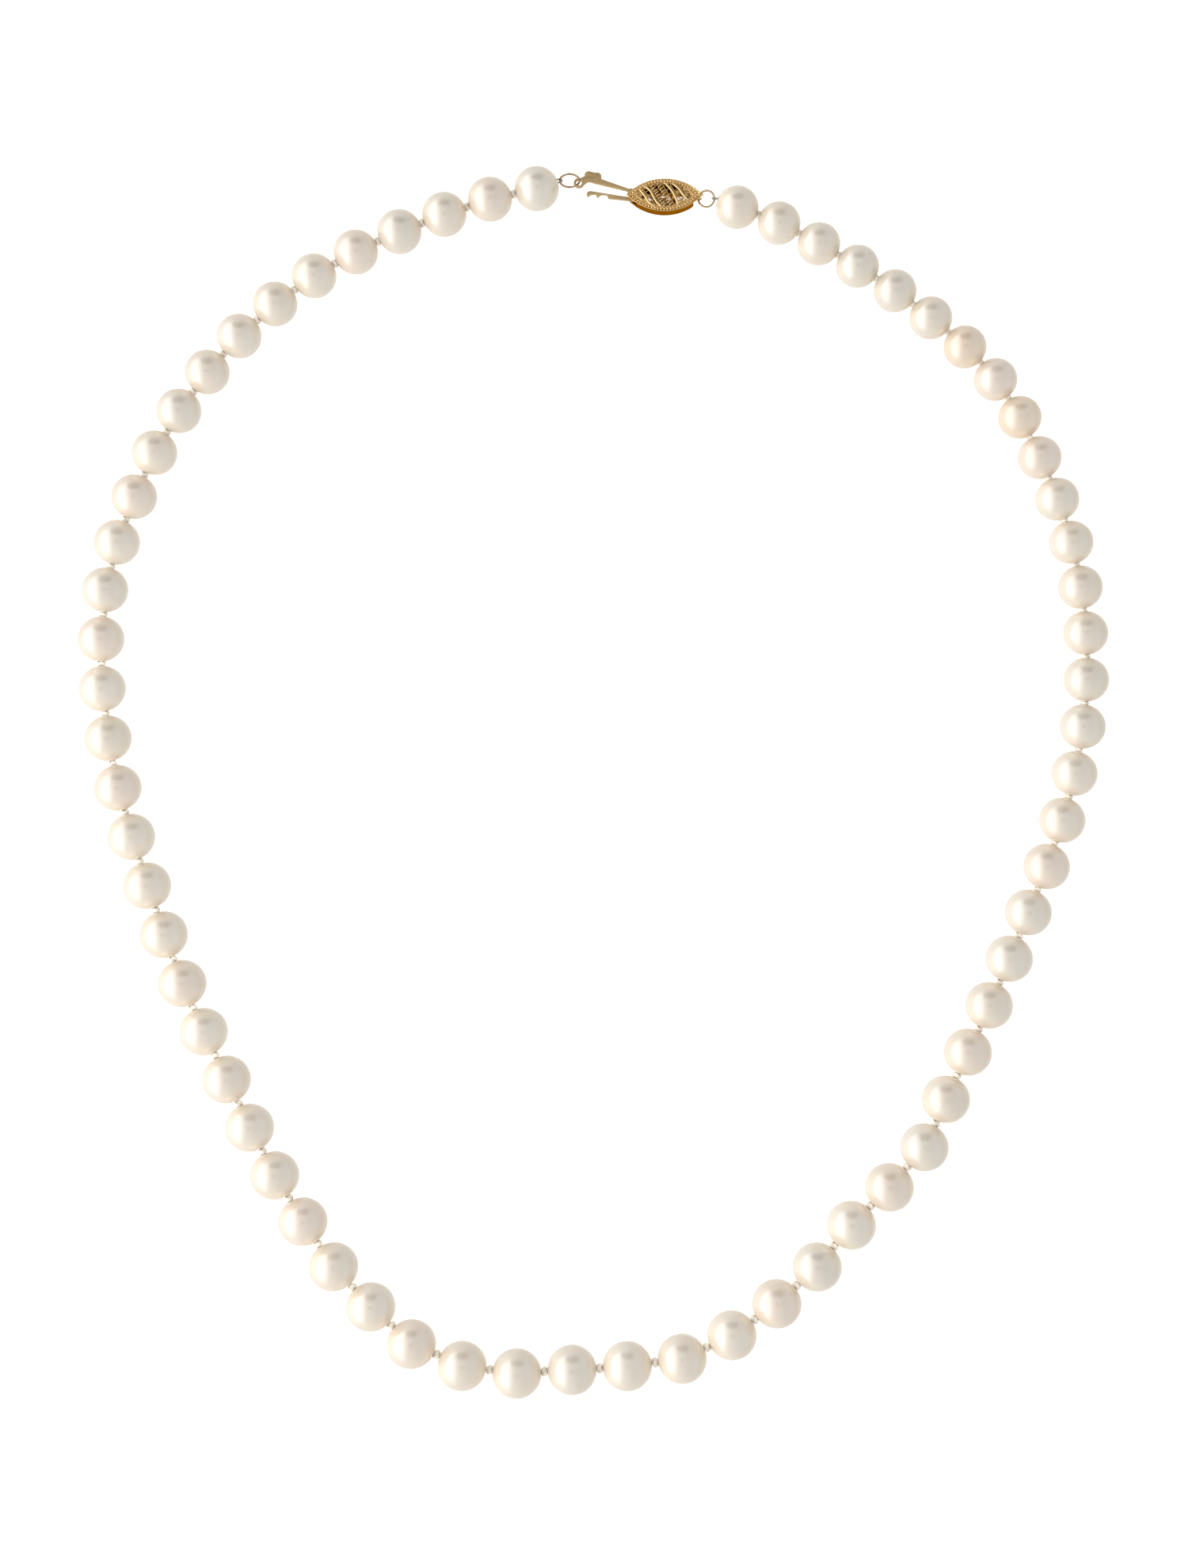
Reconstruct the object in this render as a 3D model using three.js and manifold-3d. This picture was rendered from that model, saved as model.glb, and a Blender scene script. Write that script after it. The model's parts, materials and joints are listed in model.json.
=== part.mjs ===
// A graduated, hand-knotted pearl necklace with a filigree fish-hook clasp, lying flat in an open loop.
// Millimetres, +Z up. +X is to the right, +Y runs from the front pearls to the clasp, and the
// strand rests on Z = 0. The origin is under the middle of the loop.
import * as THREE from 'three';
import { mergeVertices } from 'three/addons/utils/BufferGeometryUtils.js';
import Module from 'manifold-3d';

const wasm = await Module();
wasm.setup();

// ---- Driving dimensions: the strand ------------------------------------------------------------
const PEARLS = 65;                 // numbered 1 (left of the clasp) to 65 (right of the clasp)
const MIDDLE = 33;                 // the pearl at the front of the loop
const PEARL_FRONT = 6.92;          // diameters across the drill hole
const PEARL_LEFT_END = 6.22;
const PEARL_RIGHT_END = 6;
const PEARL_LENGTH_RATIO = 0.975;  // length along the drill hole over the diameter across it
const PITCH_FRONT = 7.6;           // pearl to pearl along the strand, with the silk knot
const PITCH_LEFT_END = 6.6;
const PITCH_RIGHT_END = 6.15;
const PEARL_SPAN = 27;             // pearls each side of the middle over which the diameters fall
const PITCH_SPAN = 25;             // and the pitches
const KNOT_RADIUS = 0.5;
const KNOT_BURY = 0.3;             // depth of a knot's end in the mouth of a drill hole

// ---- Driving dimensions: the clasp -------------------------------------------------------------
const CLASP_CENTRE = [9.7, 80.48, 2.1];
const CLASP_ROLL = -15;            // degrees about X, so the housing's lower side wall shows
const HOUSING_LENGTH = 10.5;
const HOUSING_WIDTH = 4.7;
const HOUSING_DEPTH = 2.2;
const WALL = 0.35;
const PLATE = 0.35;                // thickness of the pierced top and of the back
const SEAM = 0.1;                  // gap between soldered neighbours
const WALL_RIGHT_END = 3.95;       // where the side wall stops to make room for the end ring
const BAR_ANGLE = -48;             // degrees, lean of the openings in the top
const SHEET = 0.4;                 // thickness of the hook's sheet
const MOUTH_SLOPE = -11;           // degrees, the direction the hook slides in
const RING_WIRE = 0.14;            // radii
const EYE_WIRE = 0.12;
const GIMP = 0.12;
const GIMP_BEND = 0.3;

// The middle line of the strand, from the left jump ring round the front to the right one.
const ROUTE = [
  [-2, 82.6], [-8, 81.5], [-14.5, 80], [-27, 75.5], [-38.5, 69.5], [-48.5, 61.5], [-57, 51], [-63, 39.5],
  [-67, 27], [-67.5, 13.5], [-65.5, 0], [-61.5, -13.5], [-56.5, -27.5], [-50.5, -40.5], [-44, -53.5],
  [-36, -66], [-30.5, -72], [-25, -77], [-18, -80], [-10.5, -81], [-3, -80.5], [4.5, -80], [12, -79],
  [18.5, -76], [25, -71.5], [30.5, -66.5], [35, -61], [40.5, -55.5], [45, -50.5], [48, -44], [54, -31],
  [59.5, -18], [64, -6], [67, 7], [67.5, 20], [65.5, 33], [61, 45], [55, 55.5], [46, 64], [36, 71],
  [25, 77], [19, 79.2], [15.5, 80.5],
];
const ROUTE_MIDDLE = 20;           // the route point that the middle pearl sits on

// Knots are numbered by the pearl before them: knot 30 lies between pearls 30 and 31.
// A fold bends the whole necklace about the line through one knot on each side.
const FOLDS = [[30, 35], [27, 37], [25, 40], [23, 42], [21, 44], [18, 46], [15, 51], [13, 53], [11, 55],
  [9, 57], [7, 59], [4, 62]];
// A sway turns two equal stretches, one on each side, about upright axes at their end knots.
const SWAYS = [{ left: [16, 5], right: [38, 48] }, { left: [28, 19], right: [50, 61] }];
// The clasp opens by swinging the left side out about one knot, and a second knot keeps the hook square.
const OPENING = { swing: 26, square: 2 };
// Places where two pearls of one stretch stay separate pieces.
const BREAKS = [1, 31, 32, 33, 34, 64];

const nacre = new THREE.MeshStandardMaterial({ color: 0xe9dfd0, roughness: 0.28, metalness: 0 });
const silverWire = new THREE.MeshStandardMaterial({ color: 0xb9b6ae, roughness: 0.35, metalness: 1 });
const gold = new THREE.MeshStandardMaterial({ color: 0xcaa768, roughness: 0.25, metalness: 1 });
const brushedGold = new THREE.MeshStandardMaterial({ color: 0xb5975f, roughness: 0.5, metalness: 1 });

const vec = (x, y, z = 0) => new THREE.Vector3(x, y, z);
const radians = THREE.MathUtils.degToRad;

// ---- Solids ------------------------------------------------------------------------------------
function solid(geometry) {
  const plain = geometry.clone();
  plain.deleteAttribute('normal');
  plain.deleteAttribute('uv');
  const merged = mergeVertices(plain, 1e-5);
  return new wasm.Manifold(new wasm.Mesh({
    numProp: 3,
    vertProperties: new Float32Array(merged.attributes.position.array),
    triVerts: new Uint32Array(merged.index.array),
  }));
}

function geometryOf(manifold) {
  const mesh = manifold.getMesh();
  const geometry = new THREE.BufferGeometry();
  geometry.setAttribute('position', new THREE.BufferAttribute(mesh.vertProperties, 3));
  geometry.setIndex(new THREE.BufferAttribute(mesh.triVerts, 1));
  geometry.computeVertexNormals();
  return geometry;
}

function named(name, geometry, material) {
  const mesh = new THREE.Mesh(geometry, material);
  mesh.name = name;
  return mesh;
}

// A solid of revolution about the strand: profile points are [radius, distance along the strand].
function turned(profile, segments, centre, heading) {
  const geometry = new THREE.LatheGeometry(profile.map(([r, s]) => new THREE.Vector2(r, s)), segments);
  geometry.rotateZ(heading - Math.PI / 2);
  return geometry.translate(...centre.toArray());
}

function plate(shape, thickness, low) {
  const settings = { depth: thickness, bevelEnabled: false, curveSegments: 10 };
  return new THREE.ExtrudeGeometry(shape, settings).translate(0, 0, low);
}

// ---- The strand --------------------------------------------------------------------------------
function grade(steps, span, front, end) {
  return front - (front - end) * THREE.MathUtils.smoothstep(steps, 0, span);
}

function diameter(pearl) {
  const end = pearl < MIDDLE ? PEARL_LEFT_END : PEARL_RIGHT_END;
  return grade(Math.abs(pearl - MIDDLE), PEARL_SPAN, PEARL_FRONT, end);
}

function pitch(knot) {
  const end = knot < MIDDLE ? PITCH_LEFT_END : PITCH_RIGHT_END;
  return grade(Math.abs(knot + 0.5 - MIDDLE), PITCH_SPAN, PITCH_FRONT, end);
}

// Pearl centres: from the middle pearl, step along the route one pitch at a time, both ways.
function layPearls() {
  const route = new THREE.CatmullRomCurve3(ROUTE.map(([x, y]) => vec(x, y)), false, 'catmullrom', 0.5);
  const spans = ROUTE.length - 1;
  const at = (t) => route.getPoint(t / spans);
  const centres = [];
  centres[MIDDLE] = at(ROUTE_MIDDLE);
  for (const way of [-1, 1]) {
    let t = ROUTE_MIDDLE;
    for (let pearl = MIDDLE; pearl > 1 && pearl < PEARLS; pearl += way) {
      const step = pitch(way < 0 ? pearl - 1 : pearl);
      let near = t;
      let far = t + way * 1.6;
      for (let halving = 0; halving < 40; halving += 1) {
        const middle = (near + far) / 2;
        if (at(middle).distanceTo(centres[pearl]) < step) near = middle;
        else far = middle;
      }
      t = near;
      centres[pearl + way] = at(t);
    }
  }
  for (let pearl = 1; pearl <= PEARLS; pearl += 1) centres[pearl].z = diameter(pearl) / 2;
  return centres;
}

const pearlCentre = layPearls();

function heading(from, to) {
  return Math.atan2(to.y - from.y, to.x - from.x);
}

function pearlHeading(pearl) {
  return heading(pearlCentre[Math.max(pearl - 1, 1)], pearlCentre[Math.min(pearl + 1, PEARLS)]);
}

function knotCentre(knot) {
  return pearlCentre[knot].clone().lerp(pearlCentre[knot + 1], 0.5);
}

function pearlBall(pearl, grown = 1) {
  const radius = grown * diameter(pearl) / 2;
  const halfLength = radius * PEARL_LENGTH_RATIO;
  const steps = 6;
  const profile = [];
  for (let i = 0; i <= steps; i += 1) {
    const angle = Math.PI * i / steps;
    profile.push([i % steps === 0 ? 0 : radius * Math.sin(angle), -halfLength * Math.cos(angle)]);
  }
  return turned(profile, 10, pearlCentre[pearl], pearlHeading(pearl));
}

// A silk knot. A whole knot is sunk into both pearls; a free one is sunk into the pearl on the
// front side only and stops halfway to the other, where the strand bends or a new piece begins.
function silkKnot(knot, whole) {
  const before = pearlCentre[knot];
  const after = pearlCentre[knot + 1];
  const gap = pitch(knot) - (diameter(knot) + diameter(knot + 1)) / 2 * PEARL_LENGTH_RATIO;
  const end = gap / 2 + KNOT_BURY;
  const held = knot < MIDDLE ? 1 : -1;
  const ends = whole ? [-end, end] : [held * end, 0].sort((a, b) => a - b);
  const waist = (ends[0] + ends[1]) / 2;
  const radius = KNOT_RADIUS * pitch(knot) / PITCH_FRONT;
  const profile = [[0, ends[0]], [0.75 * radius, ends[0]], [radius, waist], [0.75 * radius, ends[1]], [0, ends[1]]];
  return turned(profile, 6, before.clone().lerp(after, 0.5), heading(before, after));
}

const hingeKnots = [
  ...FOLDS.flat(), ...SWAYS.flatMap(({ left, right }) => [...left, ...right]),
  OPENING.swing, OPENING.square,
];
const pieceEnds = new Set([...hingeKnots, ...BREAKS, PEARLS]);

function strandPieces() {
  const pieces = [];
  let first = 1;
  for (let pearl = 1; pearl <= PEARLS; pearl += 1) {
    if (!pieceEnds.has(pearl)) continue;
    pieces.push([first, pearl]);
    first = pearl + 1;
  }
  return pieces;
}

function pieceName(first, last) {
  const label = (pearl) => String(pearl).padStart(2, '0');
  return first === last ? `pearl_${label(first)}` : `pearls_${label(first)}_${label(last)}`;
}

function strandPiece([first, last]) {
  let body = solid(pearlBall(first));
  for (let pearl = first + 1; pearl <= last; pearl += 1) body = body.add(solid(pearlBall(pearl)));
  for (let knot = first; knot < last; knot += 1) body = body.add(solid(silkKnot(knot, true)));
  if (first > 1 && first <= MIDDLE) body = body.add(solid(silkKnot(first - 1, false)));
  if (last < PEARLS && last >= MIDDLE) body = body.add(solid(silkKnot(last, false)));
  return named(pieceName(first, last), geometryOf(body), nacre);
}

// ---- The clasp housing, in its own frame: u along it, v across it, w through it ----------------
function marquise(halfLength, halfWidth, Outline = THREE.Shape) {
  const radius = (halfLength ** 2 + halfWidth ** 2) / (2 * halfWidth);
  const drop = radius - halfWidth;
  const blunt = 0.015;             // radians left out at each tip, which ends it in a tiny flat
  const tip = Math.atan2(drop, halfLength) + blunt;
  const outline = new Outline();
  outline.absarc(0, -drop, radius, tip, Math.PI - tip);
  outline.absarc(0, drop, radius, Math.PI + tip, 2 * Math.PI - tip);
  return outline;
}

function halfWidthAt(u, halfLength, halfWidth) {
  const radius = (halfLength ** 2 + halfWidth ** 2) / (2 * halfWidth);
  return Math.sqrt(radius ** 2 - u ** 2) - (radius - halfWidth);
}

function box(size, centre, turn = 0) {
  return new THREE.BoxGeometry(...size).rotateZ(radians(turn)).translate(...centre);
}

const halfLength = HOUSING_LENGTH / 2;
const halfWidth = HOUSING_WIDTH / 2;
const halfDepth = HOUSING_DEPTH / 2;

function outline(points) {
  const shape = new THREE.Shape();
  points.forEach(([u, v], i) => (i ? shape.lineTo(u, v) : shape.moveTo(u, v)));
  shape.closePath();
  return shape;
}

// The top is pierced between its slanting bars.
function claspTop() {
  const rim = 0.5;
  const slot = 0.42;
  const lean = radians(BAR_ANGLE);
  let top = solid(plate(marquise(halfLength, halfWidth), PLATE, halfDepth - PLATE));
  for (const u of [-3.1, -1.85, -0.6, 0.6, 1.85, 3.1]) {
    const room = halfWidthAt(Math.abs(u) + slot, halfLength, halfWidth) - rim;
    const v = 0.75 * room;
    const shift = v / Math.tan(lean);
    const hole = outline([
      [u - slot - shift, -v], [u + slot - shift, -v], [u + slot + shift, v], [u - slot + shift, v]]);
    top = top.subtract(solid(plate(hole, 2 * PLATE, halfDepth - 1.5 * PLATE)));
  }
  return named('clasp_top', geometryOf(top), gold);
}

// The side wall is open at the left tip, where the hook slides in, and stops short of the right tip.
function claspWall() {
  const shape = marquise(halfLength, halfWidth);
  shape.holes.push(marquise(halfLength - 2 * WALL, halfWidth - WALL, THREE.Path));
  const height = HOUSING_DEPTH - 2 * PLATE - 2 * SEAM;
  const ring = solid(plate(shape, height, -height / 2));
  const mouth = solid(box([6, 2.5, 2 * height], [-5.9, 0.6, 0], MOUTH_SLOPE));
  const end = solid(box([3, 3, 2 * height], [WALL_RIGHT_END + 1.5, 0, 0]));
  const web = solid(box([WALL, 2, height], [WALL_RIGHT_END - WALL / 2, 0, 0]));
  return named('clasp_wall', geometryOf(ring.subtract(mouth).subtract(end).add(web)), gold);
}

function claspBack() {
  const ends = solid(box([3, 3, 3 * HOUSING_DEPTH], [WALL_RIGHT_END + 1.5, 0, 0]));
  let back = solid(plate(marquise(halfLength - 0.2, halfWidth - 0.1), PLATE, -halfDepth)).subtract(ends);
  for (const [u, radius] of [[-2.2, 0.5], [0, 0.7], [2.2, 0.5]]) {
    const hole = new THREE.Shape().absellipse(u, 0, 1.3 * radius, radius, 0, 2 * Math.PI);
    back = back.subtract(solid(plate(hole, 2 * PLATE, -halfDepth - PLATE / 2)));
  }
  return named('clasp_back', geometryOf(back), gold);
}

// The upright pin behind the mouth that the notched arm snaps past.
function catchPin() {
  const height = HOUSING_DEPTH - 2 * PLATE - 2 * SEAM;
  const pin = new THREE.CylinderGeometry(0.16, 0.16, height, 8).rotateX(Math.PI / 2);
  return named('catch_pin', pin.translate(-1.6, 1.05, 0), gold);
}

// ---- The hook: one bent strip, a long arm with the thumb tab and eye, and a notched spring arm --
const EYE = { u: -11.77, v: 2.07, outer: 0.72, hole: 0.42 };
const HOOK_BEND = [0.15, -1.02];    // the fold of the strip, which the spring arm flexes about

function hookTongue() {
  const arm = outline([
    [-11.2, 1.68], [-10.46, 2.33], [-9.73, 2.06], [-5.23, 0.76], [-0.1, -0.68], [0.2, -1.24], [0.85, -1.12],
    [0.95, -0.6], [-4.74, 1.3], [-8.53, 2.55], [-8.6, 2.88], [-9.0, 3.38], [-9.4, 3.56], [-9.8, 3.38],
    [-10.1, 3.78], [-10.5, 3.83], [-10.9, 3.48], [-11.3, 2.88], [-11.6, 2.73],
  ]);
  const ring = new THREE.Shape().absarc(EYE.u, EYE.v, EYE.outer, 0, 2 * Math.PI);
  const hole = new THREE.Shape().absarc(EYE.u, EYE.v, EYE.hole, 0, 2 * Math.PI);
  const body = solid(plate(arm, SHEET, -SHEET / 2)).add(solid(plate(ring, SHEET, -SHEET / 2)));
  const cut = body.subtract(solid(plate(hole, 2 * SHEET, -SHEET)));
  return named('hook_tongue', geometryOf(cut), brushedGold);
}

function hookSpringArm() {
  const arm = outline([
    [-10.07, 0.84], [-10.6, 0.73], [-10.74, 0.41], [-10.43, 0.04], [-10.3, 0.35], [-9.48, 0.36], [-9.18, -0.15],
    [-8.85, 0.28], [-7.96, 0.29], [-7.72, -0.22], [-5.16, -0.5], [-0.05, -1.12], [-0.15, -0.92], [-5.09, -0.02],
  ]);
  return named('hook_spring_arm', plate(arm, SHEET, -SHEET / 2), brushedGold);
}

// ---- Rings and thread ends ---------------------------------------------------------------------
// A ring of round wire about a centre, in the plane of two perpendicular directions.
function wireRing(centre, across, up, radius, wire, segments) {
  const geometry = new THREE.TorusGeometry(radius, wire, 6, segments);
  const frame = new THREE.Matrix4().makeBasis(across, up, across.clone().cross(up));
  return geometry.applyMatrix4(frame.setPosition(centre));
}

const leftRing = { centre: vec(-3.35, 82.75, 2.2), across: vec(1, 0, 0), up: vec(0, 0.548, 0.836), radius: 1.35 };
const rightRing = { centre: vec(15.45, 80.25, 2.22), across: vec(0.966, 0, 0.259), up: vec(0, 1, 0), radius: 1.12 };

// A thread end in its sleeve of fine coiled wire: a U round the ring, with both legs at the pearl's hole.
function threadEnd(name, ring, side, pearl) {
  const hold = ring.centre.clone().addScaledVector(ring.across, side * ring.radius);
  const turn = pearlHeading(pearl);
  const reach = diameter(pearl) / 2 * PEARL_LENGTH_RATIO * (side < 0 ? 1 : -1);
  const exit = pearlCentre[pearl].clone().add(vec(Math.cos(turn), Math.sin(turn)).multiplyScalar(reach));
  const toPearl = exit.sub(hold).projectOnPlane(ring.up).normalize();
  const acrossLegs = ring.up.clone().cross(toPearl);
  const legs = 0.6;
  const path = new THREE.CurvePath();
  const place = (a, b) => hold.clone().addScaledVector(toPearl, a).addScaledVector(acrossLegs, b);
  path.add(new THREE.LineCurve3(place(legs, GIMP_BEND), place(0, GIMP_BEND)));
  const corner = GIMP_BEND * 4 / 3;
  path.add(new THREE.CubicBezierCurve3(
    place(0, GIMP_BEND), place(-corner, GIMP_BEND), place(-corner, -GIMP_BEND), place(0, -GIMP_BEND)));
  path.add(new THREE.LineCurve3(place(0, -GIMP_BEND), place(legs, -GIMP_BEND)));
  const section = new THREE.Shape().absarc(0, 0, GIMP, 0, 2 * Math.PI);
  const settings = { steps: 14, extrudePath: path, bevelEnabled: false, curveSegments: 6 };
  const sleeve = solid(new THREE.ExtrudeGeometry(section, settings));
  return named(name, geometryOf(sleeve.subtract(solid(pearlBall(pearl, 1.04)))), silverWire);
}

function jumpRing(name, ring) {
  return named(name, wireRing(ring.centre, ring.across, ring.up, ring.radius, RING_WIRE, 20), gold);
}

// The end ring stands under the housing's right tip, round the wire of the right jump ring.
function endRing() {
  const centre = rightRing.centre.clone().addScaledVector(rightRing.across, -rightRing.radius);
  return named('end_ring', wireRing(centre, vec(1, 0, 0), vec(0, 0, 1), 0.36, EYE_WIRE, 14), gold);
}

// ---- Assembly ----------------------------------------------------------------------------------
const clasp = new THREE.Group();
clasp.position.set(...CLASP_CENTRE);
clasp.rotation.x = radians(CLASP_ROLL);
clasp.add(claspTop(), claspWall(), claspBack(), catchPin(), hookTongue(), hookSpringArm());

const necklace = new THREE.Group();
necklace.add(...strandPieces().map(strandPiece), clasp);
necklace.add(threadEnd('thread_end_left', leftRing, -1, 1), threadEnd('thread_end_right', rightRing, 1, PEARLS));
necklace.add(jumpRing('jump_ring_left', leftRing), jumpRing('jump_ring_right', rightRing), endRing());

// Hinge points and directions, for whoever drives the model.
const hingeLine = (left, right) => ({ at: [left, right], axis: right.clone().sub(left).normalize() });
const upright = (...knots) => ({ at: knots.map(knotCentre), axis: vec(0, 0, 1) });
// The upper axes of a sway move a fraction of a millimetre, so that its two stretches are exactly equal.
function swayAxes({ left, right }) {
  const [leftLow, leftTop, rightLow, rightTop] = [...left, ...right].map(knotCentre);
  const shift = leftTop.clone().sub(leftLow).sub(rightTop).add(rightLow).multiplyScalar(0.5);
  return { at: [leftLow, leftTop.sub(shift), rightLow, rightTop.add(shift)], axis: vec(0, 0, 1) };
}
const claspUp = vec(0, 0, 1).applyEuler(clasp.rotation);
clasp.updateMatrixWorld();
necklace.userData.hinges = {
  folds: FOLDS.map(([left, right]) => hingeLine(knotCentre(left), knotCentre(right))),
  sways: SWAYS.map(swayAxes),
  opening: upright(OPENING.swing, OPENING.square),
  roll: hingeLine(
    pearlCentre[1].clone().lerp(leftRing.centre, 0.7), pearlCentre[PEARLS].clone().lerp(rightRing.centre, 0.7)),
  leftRing: { at: [leftRing.centre], axis: leftRing.across.clone().cross(leftRing.up) },
  rightRing: { at: [rightRing.centre], axis: rightRing.across.clone().cross(rightRing.up) },
  springArm: { at: [clasp.localToWorld(vec(...HOOK_BEND))], axis: claspUp },
};

export default necklace;
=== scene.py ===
"""A graduated, hand-knotted pearl necklace with a filigree fish-hook clasp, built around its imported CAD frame.

Metres, +Z up, in the CAD model's frame. Shapes are written in millimetres and scaled by MM; distances in the
materials and for the lamp are in metres.
"""

import json
import math
import random

import bmesh
import bpy
import numpy as np
from mathutils import Matrix, Vector


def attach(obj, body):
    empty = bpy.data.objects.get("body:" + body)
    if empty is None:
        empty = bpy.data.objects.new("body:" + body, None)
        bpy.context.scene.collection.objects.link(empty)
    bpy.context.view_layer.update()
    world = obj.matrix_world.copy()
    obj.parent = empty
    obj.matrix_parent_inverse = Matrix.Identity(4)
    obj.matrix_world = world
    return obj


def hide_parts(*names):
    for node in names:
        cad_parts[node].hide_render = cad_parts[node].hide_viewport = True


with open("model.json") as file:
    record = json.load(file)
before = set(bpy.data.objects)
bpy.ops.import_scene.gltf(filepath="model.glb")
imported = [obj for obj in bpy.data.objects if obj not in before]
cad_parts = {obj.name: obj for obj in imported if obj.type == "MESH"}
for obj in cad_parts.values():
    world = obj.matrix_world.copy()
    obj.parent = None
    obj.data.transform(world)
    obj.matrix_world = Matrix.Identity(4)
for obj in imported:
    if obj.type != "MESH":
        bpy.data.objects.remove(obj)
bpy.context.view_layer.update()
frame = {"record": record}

MM = 0.001

# ---- Camera: straight above the loop -----------------------------------------------------------
CAMERA_LENS = 100.0
CAMERA_SENSOR = 36.0
FRAME_HEIGHT = 215.1               # what the long side of the picture spans at the pearls' middles
SUBJECT_HEIGHT = 3.2
CAMERA_Y = -0.16                   # the picture's middle, a little below the loop's


def make_camera():
    data = bpy.data.cameras.new("camera")
    data.lens = CAMERA_LENS
    data.sensor_width = CAMERA_SENSOR
    data.clip_end = 10.0
    camera = bpy.data.objects.new("camera", data)
    distance = FRAME_HEIGHT * CAMERA_LENS / CAMERA_SENSOR
    camera.location = Vector((0.0, CAMERA_Y, SUBJECT_HEIGHT + distance)) * MM
    bpy.context.scene.collection.objects.link(camera)
    bpy.context.scene.camera = camera


make_camera()

# ---- Driving dimensions of the strand, as in the CAD model -------------------------------------
PEARLS = 65
MIDDLE = 33
PEARL_FRONT = 6.92
PEARL_LEFT_END = 6.22
PEARL_RIGHT_END = 6.0
PEARL_LENGTH_RATIO = 0.975
PITCH_FRONT = 7.6
PITCH_LEFT_END = 6.6
PITCH_RIGHT_END = 6.15
PEARL_SPAN = 27
PITCH_SPAN = 25
ROUTE = [
    (-2, 82.6), (-8, 81.5), (-14.5, 80), (-27, 75.5), (-38.5, 69.5), (-48.5, 61.5), (-57, 51), (-63, 39.5),
    (-67, 27), (-67.5, 13.5), (-65.5, 0), (-61.5, -13.5), (-56.5, -27.5), (-50.5, -40.5), (-44, -53.5),
    (-36, -66), (-30.5, -72), (-25, -77), (-18, -80), (-10.5, -81), (-3, -80.5), (4.5, -80), (12, -79),
    (18.5, -76), (25, -71.5), (30.5, -66.5), (35, -61), (40.5, -55.5), (45, -50.5), (48, -44), (54, -31),
    (59.5, -18), (64, -6), (67, 7), (67.5, 20), (65.5, 33), (61, 45), (55, 55.5), (46, 64), (36, 71),
    (25, 77), (19, 79.2), (15.5, 80.5),
]
ROUTE_MIDDLE = 20                  # which point of the route the middle pearl sits on
DRILL_RADIUS = 0.34
DRILL_MOUTH = DRILL_RADIUS * 1.25  # where the bore meets the pearl's surface
DRILL_WORN = DRILL_RADIUS * 1.04   # just inside the mouth
DRILL_WORN_DEPTH = 0.06
DRILL_EVEN_DEPTH = 0.22            # from here on the bore has one width
ROSE_PEARLS = {2, 5, 12, 15, 18, 22, 27, 30, 37, 40, 43, 47, 56, 58}
SILVER_PEARLS = {1, 4, 10, 14, 33, 38, 41, 45, 46, 50, 51, 61, 62}
PEACH_PEARLS = {57, 59}

# ---- Driving dimensions of the silk ------------------------------------------------------------
KNOT_REACH = (0.42, 0.5)           # how far a knot's cord swings out from the thread, at the front pitch
KNOT_CORD = 0.31                   # the cord's radius, at the front pitch
KNOT_LENGTH = 0.16                 # how far the cord swings along the thread, as a share of the gap
KNOT_SLIP = 0.05                   # how far a knot may sit off the middle of the gap, as a share of the gap
THREAD_HELD = 0.6                  # how far the thread runs into the pearl that the knot rides with
THREAD_FREE = 0.1                  # how far it runs into the other pearl
PLIES = 3
PLY_STEPS = 24
PLY_OFFSET = 0.1
PLY_TWIST = 4.5                    # radians to the millimetre
PLY_RADIUS = 0.12
PLY_TAPER = 0.05                   # how much thinner a ply is at its free end
PLY_TAPER_FROM = 0.55              # where along the ply the taper starts

# ---- Driving dimensions of the clasp, in its own frame: u along it, v across it, w through it --
CLASP_CENTRE = (9.7, 80.48, 2.1)
CLASP_ROLL = -15.0
HALF_LENGTH = 5.25
HALF_WIDTH = 2.35
HALF_DEPTH = 1.1
PLATE = 0.35
WALL = 0.35
SHEET = 0.4
RING_WIRE = 0.14
EYE_WIRE = 0.12
GIMP = 0.12                        # the French wire: the sleeve's radius
GIMP_BEND = 0.3                    # the bend's radius round the ring
GIMP_LEGS = 0.6                    # how far the sleeve reaches on past the bend
GIMP_WIRE = 0.036
GIMP_WIRE_INSET = 0.035            # how far inside the sleeve's radius the wire's middle line lies
GIMP_PITCH = 0.078
GIMP_CORE = 0.06
MOUTH = (-2.95, -1.1, 1.25)       # the open left end: how far along it reaches, and its lower and upper edges
WALL_RIGHT_END = 3.95
EYE = (-11.77, 2.07)
EYE_OUTER = 0.72
EYE_HOLE = 0.42
END_RING = 0.36
CATCH_PIN_AT = (-1.6, 1.05)
CATCH_PIN = [(0.02, -0.78), (0.15, -0.75), (0.16, -0.7), (0.16, 0.7), (0.15, 0.75), (0.02, 0.78)]  # radius, height
CLASP = Matrix.Translation(Vector(CLASP_CENTRE) * MM) @ Matrix.Rotation(math.radians(CLASP_ROLL), 4, "X")

rng = random.Random(65)


# ---- Mesh helpers ------------------------------------------------------------------------------
def add_object(name, mesh, material, smooth=True):
    mesh.polygons.foreach_set("use_smooth", [smooth] * len(mesh.polygons))
    mesh.materials.clear()
    mesh.materials.append(material)
    piece = bpy.data.objects.new(name, mesh)
    bpy.context.scene.collection.objects.link(piece)
    return piece


def mesh_piece(name, skin, material, smooth=True):
    """A mesh object from (verts, faces) in millimetres."""
    verts, faces = skin
    mesh = bpy.data.meshes.new(name)
    mesh.from_pydata([tuple(Vector(v) * MM) for v in verts], [], [tuple(f) for f in faces])
    bm = bmesh.new()
    bm.from_mesh(mesh)
    bmesh.ops.recalc_face_normals(bm, faces=bm.faces)
    bm.to_mesh(mesh)
    bm.free()
    return add_object(name, mesh, material, smooth)


def place(piece, body, slot, *nodes):
    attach(piece, body)
    if nodes:
        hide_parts(*nodes)
    return piece


def in_clasp(piece):
    piece.matrix_world = CLASP
    return piece


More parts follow.
